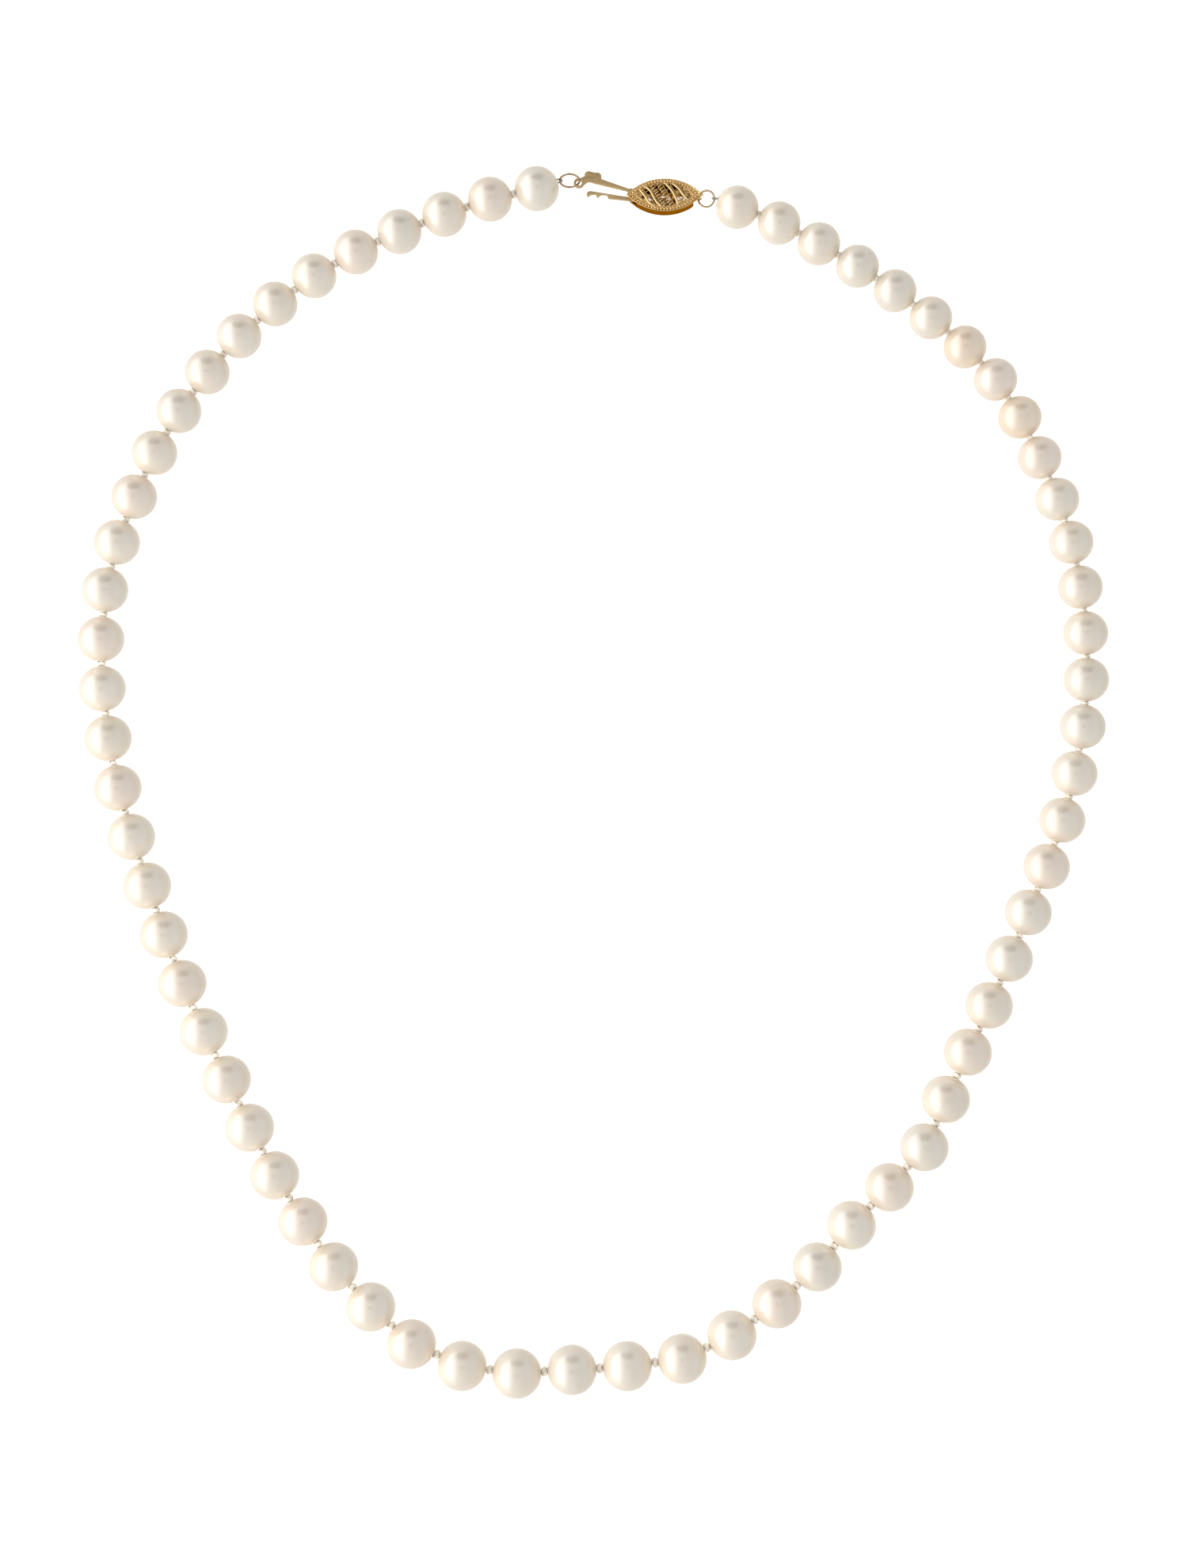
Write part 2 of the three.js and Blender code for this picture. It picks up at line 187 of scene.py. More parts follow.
def merge(parts):
    verts, faces = [], []
    for v, f in parts:
        start = len(verts)
        verts.extend(v)
        faces.extend(tuple(i + start for i in face) for face in f)
    return verts, faces


def sweep(path, radius, sides=10, closed=False):
    """A tube along points. radius is a number, or a function of 0..1 along the path."""
    points = [Vector(p) for p in path]
    count = len(points)
    verts, faces = [], []
    normal = None
    for i, point in enumerate(points):
        after = points[(i + 1) % count] if closed or i + 1 < count else point
        before = points[i - 1] if closed or i else point
        tangent = (after - before).normalized()
        if normal is None:
            normal = Vector((0, 0, 1)) if abs(tangent.z) < 0.9 else Vector((1, 0, 0))
        normal = (normal - tangent * normal.dot(tangent)).normalized()
        side = tangent.cross(normal)
        size = radius(i / (count - 1)) if callable(radius) else radius
        for k in range(sides):
            angle = 2 * math.pi * k / sides
            verts.append(point + (side * math.cos(angle) + normal * math.sin(angle)) * size)
    for i in range(count if closed else count - 1):
        a, b = i * sides, ((i + 1) % count) * sides
        faces += [(a + k, a + (k + 1) % sides, b + (k + 1) % sides, b + k) for k in range(sides)]
    if not closed:
        faces.append(tuple(range(sides)))
        faces.append(tuple((count - 1) * sides + k for k in range(sides)))
    return verts, faces


def round_ends(radius, share=0.08):
    """A tube radius that draws in to a rounded end at both ends."""
    def size(t):
        edge = min(t, 1 - t) / share
        return radius * (math.sqrt(max(1 - (1 - min(edge, 1)) ** 2, 0.0)) * 0.92 + 0.08)
    return size


def bead(centre, radii, turn=0.0, rings=6, around=10):
    """A small closed ellipsoid, turned about w."""
    verts, faces = [], []
    cos, sin = math.cos(turn), math.sin(turn)
    for i in range(1, rings):
        angle = math.pi * i / rings
        for k in range(around):
            spin = 2 * math.pi * k / around
            a = radii[0] * math.sin(angle) * math.cos(spin)
            b = radii[1] * math.sin(angle) * math.sin(spin)
            verts.append((centre[0] + a * cos - b * sin, centre[1] + a * sin + b * cos,
                          centre[2] - radii[2] * math.cos(angle)))
    for i in range(rings - 2):
        a, b = i * around, (i + 1) * around
        faces += [(a + k, a + (k + 1) % around, b + (k + 1) % around, b + k) for k in range(around)]
    faces.append(tuple(range(around)))
    faces.append(tuple((rings - 2) * around + k for k in range(around)))
    return verts, faces


def rounded(points, radius, steps=5):
    """A closed outline with each corner eased into a small curve."""
    out = []
    count = len(points)
    for i, point in enumerate(points):
        corner = Vector(point)
        before, after = Vector(points[i - 1]) - corner, Vector(points[(i + 1) % count]) - corner
        start = corner + before * min(radius / before.length, 0.45)
        end = corner + after * min(radius / after.length, 0.45)
        for k in range(steps + 1):
            t = k / steps
            out.append(start.lerp(corner, t).lerp(corner.lerp(end, t), t))
    return [(p.x, p.y) for p in out]


def arc(centre, radius, start, end, steps):
    """Points on a circle, from one angle to another in degrees."""
    angles = [math.radians(start + (end - start) * k / steps) for k in range(steps + 1)]
    return [(centre[0] + radius * math.cos(a), centre[1] + radius * math.sin(a)) for a in angles]


def plate_mesh(name, loops, low, high, bevel):
    """A stamped sheet with eased edges: the first loop is its outline and the rest are holes."""
    curve = bpy.data.curves.new(name, "CURVE")
    curve.dimensions = "2D"
    curve.fill_mode = "BOTH"
    curve.extrude = (high - low) / 2 - bevel
    curve.bevel_depth = bevel
    curve.bevel_resolution = 2
    curve.offset = -bevel
    for number, loop in enumerate(loops):
        area = sum(a[0] * b[1] - b[0] * a[1] for a, b in zip(loop, loop[1:] + loop[:1]))
        wanted = 1 if number == 0 else -1
        points = loop if area * wanted > 0 else loop[::-1]
        spline = curve.splines.new("POLY")
        spline.points.add(len(points) - 1)
        for target, point in zip(spline.points, points):
            target.co = (point[0], point[1], 0.0, 1.0)
        spline.use_cyclic_u = True
    maker = bpy.data.objects.new(name, curve)
    bpy.context.scene.collection.objects.link(maker)
    mesh = bpy.data.meshes.new_from_object(maker.evaluated_get(bpy.context.evaluated_depsgraph_get()))
    bpy.data.objects.remove(maker)
    mesh.transform(Matrix.Scale(MM, 4) @ Matrix.Translation((0, 0, (low + high) / 2)))
    bm = bmesh.new()
    bm.from_mesh(mesh)
    bmesh.ops.remove_doubles(bm, verts=bm.verts, dist=0.004 * MM)
    bmesh.ops.recalc_face_normals(bm, faces=bm.faces)
    bm.to_mesh(mesh)
    bm.free()
    return mesh


def sheet_piece(name, loops, low, high, material, bevel=0.05):
    piece = add_object(name, plate_mesh(name, loops, low, high, bevel), material)
    keep_edges = piece.modifiers.new("shading", "WEIGHTED_NORMAL")
    keep_edges.keep_sharp = True
    return in_clasp(piece)


def smoothstep(value, low, high):
    t = min(max((value - low) / (high - low), 0.0), 1.0)
    return t * t * (3 - 2 * t)


def catmull_rom(p0, p1, p2, p3, f):
    """The point a share f of the way from p1 to p2, on a smooth curve through all four."""
    square = 2 * p0 - 5 * p1 + 4 * p2 - p3
    cubic = 3 * p1 - p0 - 3 * p2 + p3
    return 0.5 * (2 * p1 + (p2 - p0) * f + square * f**2 + cubic * f**3)


# ---- Materials ---------------------------------------------------------------------------------
def new_material(name, **inputs):
    material = bpy.data.materials.new(name)
    material.use_nodes = True
    nodes = material.node_tree.nodes
    shader = nodes["Principled BSDF"]
    for key, value in inputs.items():
        shader.inputs[key.replace("_", " ")].default_value = value
    return material, nodes, material.node_tree.links, shader


def object_coordinates(nodes):
    return nodes.new("ShaderNodeTexCoord").outputs["Object"]


def noise(nodes, links, vector, scale, detail=3.0, roughness=0.5):
    node = nodes.new("ShaderNodeTexNoise")
    node.inputs["Scale"].default_value = scale
    node.inputs["Detail"].default_value = detail
    node.inputs["Roughness"].default_value = roughness
    links.new(vector, node.inputs["Vector"])
    return node.outputs["Fac"]


def map_range(nodes, links, value, low, high, to_low, to_high, smooth=False):
    node = nodes.new("ShaderNodeMapRange")
    node.interpolation_type = "SMOOTHSTEP" if smooth else "LINEAR"
    for key, number in zip(("From Min", "From Max", "To Min", "To Max"), (low, high, to_low, to_high)):
        node.inputs[key].default_value = number
    links.new(value, node.inputs["Value"])
    return node.outputs["Result"]


def mix_colour(nodes, links, factor, first, second):
    """Mixes two colours, each an RGB tuple or an output."""
    node = nodes.new("ShaderNodeMix")
    node.data_type = "RGBA"
    links.new(factor, node.inputs["Factor"])
    for socket, colour in ((node.inputs[6], first), (node.inputs[7], second)):
        if isinstance(colour, tuple):
            socket.default_value = (*colour, 1.0)
        else:
            links.new(colour, socket)
    return node.outputs[2]


def maths(nodes, links, operation, *values):
    node = nodes.new("ShaderNodeMath")
    node.operation = operation
    for socket, value in zip(node.inputs, values):
        if isinstance(value, (int, float)):
            socket.default_value = value
        else:
            links.new(value, socket)
    return node.outputs[0]


def add_bump(nodes, links, shader, height, strength, distance):
    bump = nodes.new("ShaderNodeBump")
    bump.inputs["Strength"].default_value = strength
    bump.inputs["Distance"].default_value = distance
    links.new(height, bump.inputs["Height"])
    links.new(bump.outputs["Normal"], shader.inputs["Normal"])


def nacre(name, tint, cloud, warm):
    """Cultured-pearl nacre: a clouded body colour that warms towards both drill holes, under a lustrous coat."""
    material, nodes, links, shader = new_material(
        f"nacre_{name}", IOR=1.6, Specular_IOR_Level=0.9, Subsurface_Weight=0.1, Subsurface_Scale=0.0008,
        Coat_Weight=1.0, Coat_Roughness=0.12, Coat_IOR=1.8)
    where = object_coordinates(nodes)
    clouds = noise(nodes, links, where, 190.0, detail=2.5)
    clouded = mix_colour(nodes, links, map_range(nodes, links, clouds, 0.35, 0.68, 0.0, 1.0), tint, cloud)
    parts = nodes.new("ShaderNodeSeparateXYZ")
    links.new(where, parts.inputs[0])
    along = maths(nodes, links, "ABSOLUTE", parts.outputs["Y"])
    near_hole = map_range(nodes, links, along, 0.0006, 0.0036, 0.0, 0.8, smooth=True)
    links.new(mix_colour(nodes, links, near_hole, clouded, warm), shader.inputs["Base Color"])
    grain = noise(nodes, links, where, 900.0, detail=3.0)
    links.new(map_range(nodes, links, grain, 0.3, 0.7, 0.2, 0.27), shader.inputs["Roughness"])
    ripple = noise(nodes, links, where, 520.0, detail=2.0)
    add_bump(nodes, links, shader, ripple, 0.1, 0.00003)
    return material


NACRES = {
    "cream": nacre("cream", (0.602, 0.547, 0.473), (0.582, 0.518, 0.438), (0.74, 0.635, 0.50)),
    "ivory": nacre("ivory", (0.607, 0.557, 0.486), (0.587, 0.53, 0.452), (0.75, 0.645, 0.51)),
    "rose": nacre("rose", (0.61, 0.537, 0.467), (0.595, 0.513, 0.437), (0.745, 0.625, 0.50)),
    "silver": nacre("silver", (0.59, 0.549, 0.484), (0.565, 0.517, 0.45), (0.71, 0.62, 0.50)),
    "peach": nacre("peach", (0.61, 0.525, 0.435), (0.61, 0.495, 0.38), (0.745, 0.59, 0.44)),
}


def make_silk():
    # The silk's faint warm emission is painted light: a glow that lifts the knots where they sit in shade between the
    # pearls.
    material, nodes, links, shader = new_material(
        "silk_thread", Roughness=0.7, Sheen_Weight=0.3, Subsurface_Weight=0.4, Subsurface_Scale=0.0006,
        Subsurface_Radius=(1.0, 0.95, 0.9), Emission_Strength=0.06,
        Emission_Color=(1.0, 0.92, 0.8, 1.0))
    where = object_coordinates(nodes)
    fibres = noise(nodes, links, where, 6000.0, detail=4.0)
    links.new(mix_colour(nodes, links, fibres, (0.84, 0.76, 0.65), (0.93, 0.86, 0.76)), shader.inputs["Base Color"])
    add_bump(nodes, links, shader, fibres, 0.5, 0.00004)
    return material


def make_metal(name, colour, shade, roughness, spread, bump, stretch=(1.0, 1.0, 1.0), edge=(1.0, 1.0, 1.0)):
    """A worn metal: its colour and roughness drift a little, with fine marks drawn out along one direction."""
    material, nodes, links, shader = new_material(name, Metallic=1.0, Specular_Tint=(*edge, 1.0))
    scale = nodes.new("ShaderNodeMapping")
    scale.inputs["Scale"].default_value = stretch
    links.new(object_coordinates(nodes), scale.inputs["Vector"])
    where = scale.outputs["Vector"]
    drift = noise(nodes, links, where, 900.0, detail=4.0)
    links.new(mix_colour(nodes, links, drift, shade, colour), shader.inputs["Base Color"])
    marks = noise(nodes, links, where, 5200.0, detail=5.0, roughness=0.6)
    worn = map_range(nodes, links, marks, 0.3, 0.7, roughness - spread, roughness + spread)
    links.new(worn, shader.inputs["Roughness"])
    add_bump(nodes, links, shader, marks, bump, 0.00002)
    return material


SILK = make_silk()
BRIGHT_GOLD = make_metal("bright_gold", (0.80, 0.60, 0.31), (0.68, 0.46, 0.2), 0.26, 0.06, 0.15)
CAST_GOLD = make_metal("cast_gold", (0.78, 0.57, 0.29), (0.56, 0.35, 0.12), 0.28, 0.08, 0.35)
# The side wall, end web and back plate get a darker, deeper orange copy of the gold: painted shade, standing in for
# the dim surroundings that those faces reflect.
SHADED_GOLD = make_metal(
    "shaded_gold", (0.46, 0.23, 0.045), (0.27, 0.115, 0.018), 0.18, 0.06, 0.2, edge=(0.6, 0.36, 0.1))
BRUSHED_GOLD = make_metal(
    "brushed_gold", (0.60, 0.44, 0.235), (0.56, 0.405, 0.21), 0.5, 0.08, 0.5, stretch=(0.3, 1.0, 1.0))
RING_GOLD = make_metal("ring_gold", (0.58, 0.43, 0.27), (0.34, 0.25, 0.17), 0.24, 0.07, 0.2)
SILVER_WIRE = make_metal("silver_wire", (0.62, 0.62, 0.61), (0.30, 0.30, 0.30), 0.3, 0.08, 0.3)


# ---- The strand --------------------------------------------------------------------------------
def grade(steps, span, front, end):
    return front - (front - end) * smoothstep(steps, 0, span)


def diameter(pearl):
    end = PEARL_LEFT_END if pearl < MIDDLE else PEARL_RIGHT_END
    return grade(abs(pearl - MIDDLE), PEARL_SPAN, PEARL_FRONT, end)


def pitch(knot):
    end = PITCH_LEFT_END if knot < MIDDLE else PITCH_RIGHT_END
    return grade(abs(knot + 0.5 - MIDDLE), PITCH_SPAN, PITCH_FRONT, end)


def route_at(t):
    """The strand's middle line: a Catmull-Rom curve through ROUTE, one unit of t to each span."""
    points = np.array(ROUTE, float)
    i = min(max(int(math.floor(t)), 0), len(points) - 2)
    f = t - i
    p1, p2 = points[i], points[i + 1]
    p0 = points[i - 1] if i else 2 * p1 - p2
    p3 = points[i + 2] if i + 2 < len(points) else 2 * p2 - p1
    return catmull_rom(p0, p1, p2, p3, f)


def lay_pearls(reach=1.6, halvings=40):
    """Pearl centres: from the middle pearl, one pitch at a time along the route, both ways.

    Each step is found by halving a stretch of the route, reach spans long.
    """
    flat = {MIDDLE: route_at(ROUTE_MIDDLE)}
    for way, last in ((-1, 1), (1, PEARLS)):
        t, pearl = float(ROUTE_MIDDLE), MIDDLE
        while pearl != last:
            step = pitch(pearl - 1 if way < 0 else pearl)
            near, far = t, t + way * reach
            for _ in range(halvings):
                middle = (near + far) / 2
                if np.linalg.norm(route_at(middle) - flat[pearl]) < step:
                    near = middle
                else:
                    far = middle
            t = near
            pearl += way
            flat[pearl] = route_at(t)
    return {k: Vector((p[0], p[1], diameter(k) / 2)) for k, p in flat.items()}


CENTRE = lay_pearls()


def heading(pearl):
    before, after = CENTRE[max(pearl - 1, 1)], CENTRE[min(pearl + 1, PEARLS)]
    return math.atan2(after.y - before.y, after.x - before.x)


def find_homes():
    """For each pearl, the CAD node that it is part of and the body that carries it."""
    homes = {}
    for body, members in frame["record"]["behaviour"]["bodies"].items():
        for node in members:
            if node.startswith("pearl"):
                numbers = [int(n) for n in node.split("_")[1:]]
                for pearl in range(numbers[0], numbers[-1] + 1):
                    homes[pearl] = (node, body)
    return homes


HOME = find_homes()


def pearl_skin(pearl, around=56, rings=34):
    """A drilled pearl about its own Y axis: a slightly uneven ball with a softly worn bore through it."""
    radius = diameter(pearl) / 2
    length = radius * PEARL_LENGTH_RATIO
    start = math.asin(DRILL_MOUTH / radius)
    mouth = length * math.cos(start)
    bore = [(DRILL_RADIUS, -mouth + DRILL_EVEN_DEPTH), (DRILL_WORN, -mouth + DRILL_WORN_DEPTH)]
    ball = [start + (math.pi - 2 * start) * i / rings for i in range(rings + 1)]
    profile = bore + [(radius * math.sin(a), -length * math.cos(a)) for a in ball]
    profile += [(r, -s) for r, s in reversed(bore)]
    waves = [(rng.uniform(0, 2 * math.pi), rng.uniform(0, 2 * math.pi)) for _ in range(3)]
    swell = rng.uniform(0.001, 0.004)
    verts, faces = [], []
    for r, s in profile:
        for k in range(around):
            angle = 2 * math.pi * k / around
            uneven = sum(
                math.sin((n + 1) * angle + a) * math.sin((n + 1) * s / length + b) for n, (a, b) in enumerate(waves))
            grown = 1 + swell * uneven * min(1.0, max(r / radius - 0.15, 0.0))
            verts.append((r * grown * math.sin(angle), s, r * grown * math.cos(angle)))
    bands = len(profile)
    for i in range(bands):
        a, b = i * around, ((i + 1) % bands) * around
        faces += [(a + k, a + (k + 1) % around, b + (k + 1) % around, b + k) for k in range(around)]
    return verts, faces


def nacre_for(pearl):
    """The strand is matched by eye, so its tints still differ a little."""
    for tint, members in (("rose", ROSE_PEARLS), ("silver", SILVER_PEARLS), ("peach", PEACH_PEARLS)):
        if pearl in members:
            return NACRES[tint]
    return NACRES[rng.choice(["cream", "cream", "ivory"])]


def make_pearl(pearl):
    piece = mesh_piece(f"bead_{pearl:02d}", pearl_skin(pearl), nacre_for(pearl))
    roll = Matrix.Rotation(rng.uniform(-math.pi, math.pi), 4, "Y")
    turn = Matrix.Rotation(heading(pearl) - math.pi / 2, 4, "Z")
    piece.matrix_world = Matrix.Translation(CENTRE[pearl] * MM) @ turn @ roll
    node, body = HOME[pearl]
    place(piece, body, "pearl_nacre", node)


def knot_line(size, length, steps=48):
    """An overhand knot pulled tight: a trefoil squashed along the thread, which runs along Y."""
    points = []
    for i in range(steps):
        t = 2 * math.pi * i / steps
        x = math.sin(t) + 2 * math.sin(2 * t)
        z = math.cos(t) - 2 * math.cos(2 * t)
        points.append((x * size / 3, -math.sin(3 * t) * length, z * size / 3))
    return points


def make_knot(knot):
    """The silk between two pearls: the knot, and the plied thread that runs straight on into both of them."""
    gap = pitch(knot) - (diameter(knot) + diameter(knot + 1)) / 2 * PEARL_LENGTH_RATIO
    scale = pitch(knot) / PITCH_FRONT
    size = rng.uniform(*KNOT_REACH) * scale
    tie = sweep(knot_line(size, KNOT_LENGTH * gap), KNOT_CORD * scale, sides=10, closed=True)
    slip = Vector((0, rng.uniform(-KNOT_SLIP, KNOT_SLIP) * gap, 0))
    tie = ([v + slip for v in tie[0]], tie[1])
    held = -1 if knot >= MIDDLE else 1
    ends = (held * (gap / 2 + THREAD_HELD), -held * (gap / 2 + THREAD_FREE))
    plies = []
    for strand in range(PLIES):
        start = 2 * math.pi * strand / PLIES
        line = []
        for i in range(PLY_STEPS + 1):
            s = ends[0] + (ends[1] - ends[0]) * i / PLY_STEPS
            angle = start + PLY_TWIST * s
            line.append((PLY_OFFSET * math.cos(angle), s, PLY_OFFSET * math.sin(angle)))
        plies.append(sweep(line, lambda t: PLY_RADIUS - PLY_TAPER * smoothstep(t, PLY_TAPER_FROM, 1.0), sides=8))
    piece = mesh_piece(f"silk_knot_{knot:02d}", merge([tie, *plies]), SILK)
    step = CENTRE[knot + 1] - CENTRE[knot]
    turn = Matrix.Rotation(math.atan2(step.y, step.x) - math.pi / 2, 4, "Z")
    twist = Matrix.Rotation(rng.uniform(0, 2 * math.pi), 4, "Y")
    piece.matrix_world = Matrix.Translation((CENTRE[knot] + CENTRE[knot + 1]) / 2 * MM) @ turn @ twist
    place(piece, HOME[knot + 1 if knot < MIDDLE else knot][1], "silk")


for number in range(1, PEARLS + 1):
    make_pearl(number)
for number in range(1, PEARLS):
    make_knot(number)


# ---- The clasp housing -------------------------------------------------------------------------
def marquise(half_length, half_width, steps=48):
    """A pointed oval of two arcs, counter-clockwise from the right tip."""
    radius = (half_length**2 + half_width**2) / (2 * half_width)
    drop = radius - half_width
    tip = math.atan2(drop, half_length)
    points = []
    for side in (1, -1):
        for i in range(steps):
            angle = tip + (math.pi - 2 * tip) * i / steps
            points.append((side * radius * math.cos(angle), side * (radius * math.sin(angle) - drop)))
    return points


def inset(distance, steps=48):
    """The housing's outline, moved in by a distance."""
    return marquise(HALF_LENGTH - 2.1 * distance, HALF_WIDTH - distance, steps)


def band(profile, keep=None, steps=48):
    """A band round the marquise from a closed profile of (inset, height), or the stretch of it that keep allows."""
    rows = [[(u, v, w) for u, v in inset(d, steps)] for d, w in profile]
    columns = list(range(2 * steps))
    closed = keep is None
    if not closed:
        allowed = [keep(*rows[0][k][:2]) for k in columns]
        first = next(k for k in columns if allowed[k] and not allowed[k - 1])
        columns = []
        while allowed[(first + len(columns)) % (2 * steps)]:
            columns.append((first + len(columns)) % (2 * steps))
    count, levels = len(columns), len(profile)
    verts = [rows[level][k] for level in range(levels) for k in columns]
    faces = []
    for level in range(levels):
        a, b = level * count, ((level + 1) % levels) * count
        for k in range(count if closed else count - 1):
            n = (k + 1) % count
            faces.append((a + k, a + n, b + n, b + k))
    if not closed:
        faces.append(tuple(level * count for level in range(levels)))
        faces.append(tuple(level * count + count - 1 for level in range(levels)))
    return verts, faces


def along_outline(distance, spacing):
    """Evenly spaced places on the inset outline, each with the direction of the outline there."""
    track = inset(distance, 300)
    spots, travelled = [], 0.0
    for before, here in zip(track, track[1:]):
        step = math.hypot(here[0] - before[0], here[1] - before[1])
        travelled += step
        if travelled >= spacing:
            travelled -= spacing
            spots.append((*here, math.atan2(here[1] - before[1], here[0] - before[0])))
    return spots


def clasp_rim():
    """The bead-set rim: an outer lip, a groove with the beads in it, and an inner lip."""
    lips = band([
        (0.0, 0.84), (0.01, 0.96), (0.05, 1.0), (0.1, 0.97), (0.13, 0.9), (0.5, 0.9), (0.53, 1.0), (0.59, 1.05),
        (0.65, 1.0), (0.68, 0.84), (0.6, 0.76), (0.04, 0.76)])
    beads = []
    for number, (u, v, turn) in enumerate(along_outline(0.31, 0.43)):
        size = 0.94 + 0.06 * math.cos(2.1 * number)
        beads.append(bead((u, v, 0.93), (0.205 * size, 0.25, 0.17 * size), turn, 7, 12))
    beads += [bead((side * (HALF_LENGTH - 0.32), 0.0, 0.95), (0.42, 0.2, 0.17)) for side in (-1, 1)]
    rim = mesh_piece("clasp_rim", merge([lips, *beads]), CAST_GOLD)
    place(in_clasp(rim), "clasp_housing", "polished_gold", "clasp_top")


def arched(start, end, low, high, steps=8):
    """A straight line from start to end that rises in the middle."""
    points = []
    for i in range(steps + 1):
        t = i / steps
        hump = math.sin(math.pi * t)
        u = start[0] + (end[0] - start[0]) * t
        v = start[1] + (end[1] - start[1]) * t
        points.append((u, v, low + (high - low) * hump))
    return points


def spring(start, end, w, radius, turns, phase=0.0, flat=0.5):
    """A wire coiled round a straight line."""
    length = math.hypot(end[0] - start[0], end[1] - start[1])
    across = (-(end[1] - start[1]) / length, (end[0] - start[0]) / length)
    points = []
    count = int(turns * 12)
    for i in range(count + 1):
        t = i / count
        angle = 2 * math.pi * turns * t + phase
        side = radius * math.cos(angle)
        points.append((start[0] + (end[0] - start[0]) * t + across[0] * side,
                       start[1] + (end[1] - start[1]) * t + across[1] * side,
                       w + radius * flat * math.sin(angle)))
    return points


def scroll(centre, size, turns, start, w, way):
    """A flat spiral of wire that ends in the middle."""
    count = int(turns * 20)
    points = []
    for i in range(count + 1):
        t = i / count
        angle = math.radians(start) + way * 2 * math.pi * turns * t
        reach = size * (1 - 0.82 * t)
        points.append((centre[0] + reach * math.cos(angle), centre[1] + reach * math.sin(angle), w + 0.06 * t))
    return points


BARS = [
    ((-3.5, 0.85), (-2.8, -0.1), (-2.2, -1.1), (-1.35, -1.72)),
    ((-2.65, 1.2), (-1.9, 0.4), (-1.25, -0.9), (-0.4, -1.85)),
    ((0.1, 1.68), (0.95, 0.6), (1.5, -0.5), (1.85, -1.6)),
    ((1.2, 1.58), (1.95, 0.85), (2.5, 0.0), (3.15, -0.75)),
]
COILS = [((-1.75, 1.4), (0.1, -1.8)), ((-0.85, 1.6), (1.05, -1.75))]
LATTICE_OVER = 6                   # the first wires of the lattice cross over the others
LATTICE = [
    ((-2.1, 1.35), (-0.25, -1.8)), ((-0.35, 1.7), (1.45, -1.65)), ((0.7, 1.65), (2.5, -1.2)),
    ((1.95, 1.4), (3.55, -0.45)), ((-3.1, 1.0), (-1.0, -1.8)), ((-4.1, 0.45), (-2.3, -1.35)),
    ((-4.0, -0.5), (-0.9, 1.6)), ((-3.3, -0.9), (0.2, 1.6)), ((-2.4, -1.25), (1.3, 1.5)),
    ((-1.5, -1.5), (2.3, 1.3)), ((-0.4, -1.7), (3.2, 0.9)), ((0.7, -1.7), (3.9, 0.55)),
    ((1.9, -1.45), (4.2, 0.2)),
]
SCROLLS = [                        # centre, size, turns, start, way
    ((-3.6, -0.15), 0.55, 1.9, 60, 1), ((-2.9, -0.95), 0.4, 1.6, 200, -1), ((-4.35, 0.05), 0.27, 1.4, 0, 1),
    ((3.0, 0.65), 0.5, 1.9, 240, 1), ((2.75, -0.1), 0.34, 1.6, 80, -1), ((3.85, 0.1), 0.36, 1.6, 150, 1),
    ((4.4, -0.02), 0.2, 1.2, 0, 1), ((-2.25, -0.3), 0.24, 1.2, 90, 1), ((1.8, 0.4), 0.26, 1.4, 10, -1),
    ((1.35, -0.35), 0.24, 1.2, 120, 1), ((-1.75, 0.5), 0.22, 1.2, 45, 1), ((2.3, -0.9), 0.3, 1.4, 30, 1),
    ((-3.0, 0.25), 0.22, 1.2, 300, -1), ((0.75, 1.1), 0.22, 1.2, 100, 1),
]
FLOWERS = [((-3.6, -0.15), 0.4), ((3.0, 0.65), 0.38)]  # centre, reach
PETALS = 6
BAR_WIRE = 0.185
COIL_WIRE = 0.095
COIL_RADIUS = 0.3
COIL_TURNS = 9
LATTICE_WIRE = 0.075
SCROLL_WIRE = 0.09


def smooth_line(points, low, high, steps=9):
    """A curve through points of the clasp's top that rises from low at its ends to high in the middle."""
    flat = [Vector(p) for p in points]
    flat = [2 * flat[0] - flat[1], *flat, 2 * flat[-1] - flat[-2]]
    spans = len(points) - 1
    line = []
    for k in range(spans * steps + 1):
        i = min(k // steps, spans - 1)
        f = k / steps - i
        p = catmull_rom(*flat[i:i + 4], f)
        line.append((p.x, p.y, low + (high - low) * math.sin(math.pi * k / (spans * steps)) ** 0.5))
    return line


def clasp_filigree():
    """Four smooth slanting bars, with twisted bands, scrolls and grains of gold between them."""
    bars = [sweep(smooth_line(bar, 0.9, 1.04), round_ends(BAR_WIRE, 0.05), sides=12) for bar in BARS]
    feet = [bead((*bar[end], 0.93), (0.24, 0.22, 0.15)) for bar in BARS for end in (0, -1)]
    place(in_clasp(mesh_piece("clasp_bars", merge(bars + feet), BRIGHT_GOLD)), "clasp_housing", "polished_gold")

    wire = []
    for number, (start, end) in enumerate(COILS):
        wire.append(sweep(spring(start, end, 0.9, COIL_RADIUS, COIL_TURNS, 1.6 * number), COIL_WIRE, sides=7))
    for number, (start, end) in enumerate(LATTICE):
        height = 0.78 if number < LATTICE_OVER else 0.7
        wire.append(sweep(arched(start, end, height, height + 0.04), LATTICE_WIRE, sides=7))
    for centre, size, turns, start, way in SCROLLS:
        wire.append(sweep(scroll(centre, size, turns, start, 0.88, way), SCROLL_WIRE, sides=7))
        wire.append(bead((*centre, 0.98), (0.13, 0.13, 0.11)))
    for centre, reach in FLOWERS:
        for petal in range(PETALS):
            angle = 2 * math.pi * petal / PETALS
            where = (centre[0] + reach * math.cos(angle), centre[1] + reach * math.sin(angle), 0.98)
            wire.append(bead(where, (0.16, 0.11, 0.1), angle))
    for u, v, _ in along_outline(0.72, 0.37):
        wire.append(bead((u, v, 0.86), (0.1 + rng.uniform(0, 0.04), 0.11, 0.11)))
    place(in_clasp(mesh_piece("clasp_scrollwork", merge(wire), CAST_GOLD)), "clasp_housing", "polished_gold")


